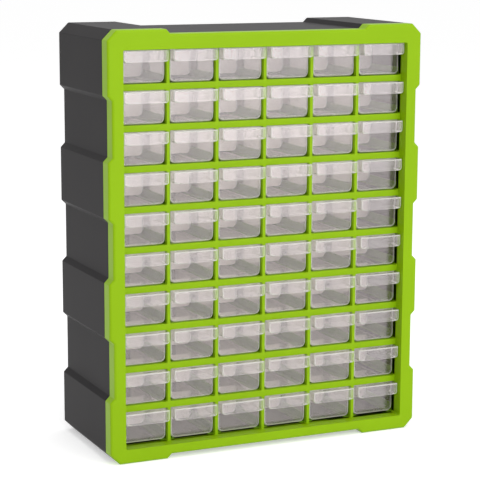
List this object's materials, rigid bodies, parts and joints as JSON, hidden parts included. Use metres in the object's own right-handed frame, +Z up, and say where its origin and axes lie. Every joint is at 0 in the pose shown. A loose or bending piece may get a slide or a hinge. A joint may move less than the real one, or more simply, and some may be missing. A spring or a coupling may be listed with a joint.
{
  "type": "parts bin cabinet",
  "caption": "Cabinet for small parts: a castellated casing with a gridded front frame and clear sliding drawers, each with a finger grip and a lift-out divider.",
  "frame": {"origin": "centre of the base, on the surface that the cabinet stands on", "axes": "+Z up; the drawers' fronts face -Y; +X to the right seen from the front"},
  "size_m": [0.38, 0.158, 0.475],
  "materials": {
    "casing_plastic": "dark grey moulded plastic with a fine satin grain",
    "frame_plastic": "lime green moulded plastic, satin gloss",
    "rail_plastic": "lime green moulded plastic, satin gloss",
    "drawer_plastic": "clear, slightly hazy moulded plastic"
  },
  "bodies": {
    "cabinet": {"rear_casing": "casing_plastic", "front_frame": "frame_plastic", "drawer_rails": "rail_plastic"},
    "drawer_r1_c1": {"drawer_r1_c1": "drawer_plastic"},
    "drawer_r1_c2": {"drawer_r1_c2": "drawer_plastic"},
    "drawer_r1_c3": {"drawer_r1_c3": "drawer_plastic"},
    "drawer_r1_c4": {"drawer_r1_c4": "drawer_plastic"},
    "drawer_r1_c5": {"drawer_r1_c5": "drawer_plastic"},
    "drawer_r1_c6": {"drawer_r1_c6": "drawer_plastic"},
    "drawer_r2_c1": {"drawer_r2_c1": "drawer_plastic"},
    "drawer_r2_c2": {"drawer_r2_c2": "drawer_plastic"},
    "drawer_r2_c3": {"drawer_r2_c3": "drawer_plastic"},
    "drawer_r2_c4": {"drawer_r2_c4": "drawer_plastic"},
    "drawer_r2_c5": {"drawer_r2_c5": "drawer_plastic"},
    "drawer_r2_c6": {"drawer_r2_c6": "drawer_plastic"},
    "drawer_r3_c1": {"drawer_r3_c1": "drawer_plastic"},
    "drawer_r3_c2": {"drawer_r3_c2": "drawer_plastic"},
    "drawer_r3_c3": {"drawer_r3_c3": "drawer_plastic"},
    "drawer_r3_c4": {"drawer_r3_c4": "drawer_plastic"},
    "drawer_r3_c5": {"drawer_r3_c5": "drawer_plastic"},
    "drawer_r3_c6": {"drawer_r3_c6": "drawer_plastic"},
    "drawer_r4_c1": {"drawer_r4_c1": "drawer_plastic"},
    "drawer_r4_c2": {"drawer_r4_c2": "drawer_plastic"},
    "drawer_r4_c3": {"drawer_r4_c3": "drawer_plastic"},
    "drawer_r4_c4": {"drawer_r4_c4": "drawer_plastic"},
    "drawer_r4_c5": {"drawer_r4_c5": "drawer_plastic"},
    "drawer_r4_c6": {"drawer_r4_c6": "drawer_plastic"},
    "drawer_r5_c1": {"drawer_r5_c1": "drawer_plastic"},
    "drawer_r5_c2": {"drawer_r5_c2": "drawer_plastic"},
    "drawer_r5_c3": {"drawer_r5_c3": "drawer_plastic"},
    "drawer_r5_c4": {"drawer_r5_c4": "drawer_plastic"},
    "drawer_r5_c5": {"drawer_r5_c5": "drawer_plastic"},
    "drawer_r5_c6": {"drawer_r5_c6": "drawer_plastic"},
    "drawer_r6_c1": {"drawer_r6_c1": "drawer_plastic"},
    "drawer_r6_c2": {"drawer_r6_c2": "drawer_plastic"},
    "drawer_r6_c3": {"drawer_r6_c3": "drawer_plastic"},
    "drawer_r6_c4": {"drawer_r6_c4": "drawer_plastic"},
    "drawer_r6_c5": {"drawer_r6_c5": "drawer_plastic"},
    "drawer_r6_c6": {"drawer_r6_c6": "drawer_plastic"},
    "drawer_r7_c1": {"drawer_r7_c1": "drawer_plastic"},
    "drawer_r7_c2": {"drawer_r7_c2": "drawer_plastic"},
    "drawer_r7_c3": {"drawer_r7_c3": "drawer_plastic"},
    "drawer_r7_c4": {"drawer_r7_c4": "drawer_plastic"},
    "drawer_r7_c5": {"drawer_r7_c5": "drawer_plastic"},
    "drawer_r7_c6": {"drawer_r7_c6": "drawer_plastic"},
    "drawer_r8_c1": {"drawer_r8_c1": "drawer_plastic"},
    "drawer_r8_c2": {"drawer_r8_c2": "drawer_plastic"},
    "drawer_r8_c3": {"drawer_r8_c3": "drawer_plastic"},
    "drawer_r8_c4": {"drawer_r8_c4": "drawer_plastic"},
    "drawer_r8_c5": {"drawer_r8_c5": "drawer_plastic"},
    "drawer_r8_c6": {"drawer_r8_c6": "drawer_plastic"},
    "drawer_r9_c1": {"drawer_r9_c1": "drawer_plastic"},
    "drawer_r9_c2": {"drawer_r9_c2": "drawer_plastic"},
    "drawer_r9_c3": {"drawer_r9_c3": "drawer_plastic"},
    "drawer_r9_c4": {"drawer_r9_c4": "drawer_plastic"},
    "drawer_r9_c5": {"drawer_r9_c5": "drawer_plastic"},
    "drawer_r9_c6": {"drawer_r9_c6": "drawer_plastic"},
    "drawers_r10_c1_2": {"drawers_r10_c1_2": "drawer_plastic"},
    "drawers_r10_c3_4": {"drawers_r10_c3_4": "drawer_plastic"},
    "drawers_r10_c5_6": {"drawers_r10_c5_6": "drawer_plastic"}
  },
  "joints": [
    {"name": "drawer_r1_c1_slide", "type": "slide", "parent": "cabinet", "child": "drawer_r1_c1", "axis": [0, -1, 0], "range_m": [0, 0.1217]},
    {"name": "drawer_r1_c2_slide", "type": "slide", "parent": "cabinet", "child": "drawer_r1_c2", "axis": [0, -1, 0], "range_m": [0, 0.1217]},
    {"name": "drawer_r1_c3_slide", "type": "slide", "parent": "cabinet", "child": "drawer_r1_c3", "axis": [0, -1, 0], "range_m": [0, 0.1217]},
    {"name": "drawer_r1_c4_slide", "type": "slide", "parent": "cabinet", "child": "drawer_r1_c4", "axis": [0, -1, 0], "range_m": [0, 0.1217]},
    {"name": "drawer_r1_c5_slide", "type": "slide", "parent": "cabinet", "child": "drawer_r1_c5", "axis": [0, -1, 0], "range_m": [0, 0.1217]},
    {"name": "drawer_r1_c6_slide", "type": "slide", "parent": "cabinet", "child": "drawer_r1_c6", "axis": [0, -1, 0], "range_m": [0, 0.1217]},
    {"name": "drawer_r2_c1_slide", "type": "slide", "parent": "cabinet", "child": "drawer_r2_c1", "axis": [0, -1, 0], "range_m": [0, 0.1217]},
    {"name": "drawer_r2_c2_slide", "type": "slide", "parent": "cabinet", "child": "drawer_r2_c2", "axis": [0, -1, 0], "range_m": [0, 0.1217]},
    {"name": "drawer_r2_c3_slide", "type": "slide", "parent": "cabinet", "child": "drawer_r2_c3", "axis": [0, -1, 0], "range_m": [0, 0.1217]},
    {"name": "drawer_r2_c4_slide", "type": "slide", "parent": "cabinet", "child": "drawer_r2_c4", "axis": [0, -1, 0], "range_m": [0, 0.1217]},
    {"name": "drawer_r2_c5_slide", "type": "slide", "parent": "cabinet", "child": "drawer_r2_c5", "axis": [0, -1, 0], "range_m": [0, 0.1217]},
    {"name": "drawer_r2_c6_slide", "type": "slide", "parent": "cabinet", "child": "drawer_r2_c6", "axis": [0, -1, 0], "range_m": [0, 0.1217]},
    {"name": "drawer_r3_c1_slide", "type": "slide", "parent": "cabinet", "child": "drawer_r3_c1", "axis": [0, -1, 0], "range_m": [0, 0.1217]},
    {"name": "drawer_r3_c2_slide", "type": "slide", "parent": "cabinet", "child": "drawer_r3_c2", "axis": [0, -1, 0], "range_m": [0, 0.1217]},
    {"name": "drawer_r3_c3_slide", "type": "slide", "parent": "cabinet", "child": "drawer_r3_c3", "axis": [0, -1, 0], "range_m": [0, 0.1217]},
    {"name": "drawer_r3_c4_slide", "type": "slide", "parent": "cabinet", "child": "drawer_r3_c4", "axis": [0, -1, 0], "range_m": [0, 0.1217]},
    {"name": "drawer_r3_c5_slide", "type": "slide", "parent": "cabinet", "child": "drawer_r3_c5", "axis": [0, -1, 0], "range_m": [0, 0.1217]},
    {"name": "drawer_r3_c6_slide", "type": "slide", "parent": "cabinet", "child": "drawer_r3_c6", "axis": [0, -1, 0], "range_m": [0, 0.1217]},
    {"name": "drawer_r4_c1_slide", "type": "slide", "parent": "cabinet", "child": "drawer_r4_c1", "axis": [0, -1, 0], "range_m": [0, 0.1217]},
    {"name": "drawer_r4_c2_slide", "type": "slide", "parent": "cabinet", "child": "drawer_r4_c2", "axis": [0, -1, 0], "range_m": [0, 0.1217]},
    {"name": "drawer_r4_c3_slide", "type": "slide", "parent": "cabinet", "child": "drawer_r4_c3", "axis": [0, -1, 0], "range_m": [0, 0.1217]},
    {"name": "drawer_r4_c4_slide", "type": "slide", "parent": "cabinet", "child": "drawer_r4_c4", "axis": [0, -1, 0], "range_m": [0, 0.1217]},
    {"name": "drawer_r4_c5_slide", "type": "slide", "parent": "cabinet", "child": "drawer_r4_c5", "axis": [0, -1, 0], "range_m": [0, 0.1217]},
    {"name": "drawer_r4_c6_slide", "type": "slide", "parent": "cabinet", "child": "drawer_r4_c6", "axis": [0, -1, 0], "range_m": [0, 0.1217]},
    {"name": "drawer_r5_c1_slide", "type": "slide", "parent": "cabinet", "child": "drawer_r5_c1", "axis": [0, -1, 0], "range_m": [0, 0.1217]},
    {"name": "drawer_r5_c2_slide", "type": "slide", "parent": "cabinet", "child": "drawer_r5_c2", "axis": [0, -1, 0], "range_m": [0, 0.1217]},
    {"name": "drawer_r5_c3_slide", "type": "slide", "parent": "cabinet", "child": "drawer_r5_c3", "axis": [0, -1, 0], "range_m": [0, 0.1217]},
    {"name": "drawer_r5_c4_slide", "type": "slide", "parent": "cabinet", "child": "drawer_r5_c4", "axis": [0, -1, 0], "range_m": [0, 0.1217]},
    {"name": "drawer_r5_c5_slide", "type": "slide", "parent": "cabinet", "child": "drawer_r5_c5", "axis": [0, -1, 0], "range_m": [0, 0.1217]},
    {"name": "drawer_r5_c6_slide", "type": "slide", "parent": "cabinet", "child": "drawer_r5_c6", "axis": [0, -1, 0], "range_m": [0, 0.1217]},
    {"name": "drawer_r6_c1_slide", "type": "slide", "parent": "cabinet", "child": "drawer_r6_c1", "axis": [0, -1, 0], "range_m": [0, 0.1217]},
    {"name": "drawer_r6_c2_slide", "type": "slide", "parent": "cabinet", "child": "drawer_r6_c2", "axis": [0, -1, 0], "range_m": [0, 0.1217]},
    {"name": "drawer_r6_c3_slide", "type": "slide", "parent": "cabinet", "child": "drawer_r6_c3", "axis": [0, -1, 0], "range_m": [0, 0.1217]},
    {"name": "drawer_r6_c4_slide", "type": "slide", "parent": "cabinet", "child": "drawer_r6_c4", "axis": [0, -1, 0], "range_m": [0, 0.1217]},
    {"name": "drawer_r6_c5_slide", "type": "slide", "parent": "cabinet", "child": "drawer_r6_c5", "axis": [0, -1, 0], "range_m": [0, 0.1217]},
    {"name": "drawer_r6_c6_slide", "type": "slide", "parent": "cabinet", "child": "drawer_r6_c6", "axis": [0, -1, 0], "range_m": [0, 0.1217]},
    {"name": "drawer_r7_c1_slide", "type": "slide", "parent": "cabinet", "child": "drawer_r7_c1", "axis": [0, -1, 0], "range_m": [0, 0.1217]},
    {"name": "drawer_r7_c2_slide", "type": "slide", "parent": "cabinet", "child": "drawer_r7_c2", "axis": [0, -1, 0], "range_m": [0, 0.1217]},
    {"name": "drawer_r7_c3_slide", "type": "slide", "parent": "cabinet", "child": "drawer_r7_c3", "axis": [0, -1, 0], "range_m": [0, 0.1217]},
    {"name": "drawer_r7_c4_slide", "type": "slide", "parent": "cabinet", "child": "drawer_r7_c4", "axis": [0, -1, 0], "range_m": [0, 0.1217]},
    {"name": "drawer_r7_c5_slide", "type": "slide", "parent": "cabinet", "child": "drawer_r7_c5", "axis": [0, -1, 0], "range_m": [0, 0.1217]},
    {"name": "drawer_r7_c6_slide", "type": "slide", "parent": "cabinet", "child": "drawer_r7_c6", "axis": [0, -1, 0], "range_m": [0, 0.1217]},
    {"name": "drawer_r8_c1_slide", "type": "slide", "parent": "cabinet", "child": "drawer_r8_c1", "axis": [0, -1, 0], "range_m": [0, 0.1217]},
    {"name": "drawer_r8_c2_slide", "type": "slide", "parent": "cabinet", "child": "drawer_r8_c2", "axis": [0, -1, 0], "range_m": [0, 0.1217]},
    {"name": "drawer_r8_c3_slide", "type": "slide", "parent": "cabinet", "child": "drawer_r8_c3", "axis": [0, -1, 0], "range_m": [0, 0.1217]},
    {"name": "drawer_r8_c4_slide", "type": "slide", "parent": "cabinet", "child": "drawer_r8_c4", "axis": [0, -1, 0], "range_m": [0, 0.1217]},
    {"name": "drawer_r8_c5_slide", "type": "slide", "parent": "cabinet", "child": "drawer_r8_c5", "axis": [0, -1, 0], "range_m": [0, 0.1217]},
    {"name": "drawer_r8_c6_slide", "type": "slide", "parent": "cabinet", "child": "drawer_r8_c6", "axis": [0, -1, 0], "range_m": [0, 0.1217]},
    {"name": "drawer_r9_c1_slide", "type": "slide", "parent": "cabinet", "child": "drawer_r9_c1", "axis": [0, -1, 0], "range_m": [0, 0.1217]},
    {"name": "drawer_r9_c2_slide", "type": "slide", "parent": "cabinet", "child": "drawer_r9_c2", "axis": [0, -1, 0], "range_m": [0, 0.1217]},
    {"name": "drawer_r9_c3_slide", "type": "slide", "parent": "cabinet", "child": "drawer_r9_c3", "axis": [0, -1, 0], "range_m": [0, 0.1217]},
    {"name": "drawer_r9_c4_slide", "type": "slide", "parent": "cabinet", "child": "drawer_r9_c4", "axis": [0, -1, 0], "range_m": [0, 0.1217]},
    {"name": "drawer_r9_c5_slide", "type": "slide", "parent": "cabinet", "child": "drawer_r9_c5", "axis": [0, -1, 0], "range_m": [0, 0.1217]},
    {"name": "drawer_r9_c6_slide", "type": "slide", "parent": "cabinet", "child": "drawer_r9_c6", "axis": [0, -1, 0], "range_m": [0, 0.1217]},
    {"name": "drawers_r10_c1_2_slide", "type": "slide", "parent": "cabinet", "child": "drawers_r10_c1_2", "axis": [0, -1, 0], "range_m": [0, 0.1217]},
    {"name": "drawers_r10_c3_4_slide", "type": "slide", "parent": "cabinet", "child": "drawers_r10_c3_4", "axis": [0, -1, 0], "range_m": [0, 0.1217]},
    {"name": "drawers_r10_c5_6_slide", "type": "slide", "parent": "cabinet", "child": "drawers_r10_c5_6", "axis": [0, -1, 0], "range_m": [0, 0.1217]}
  ]
}
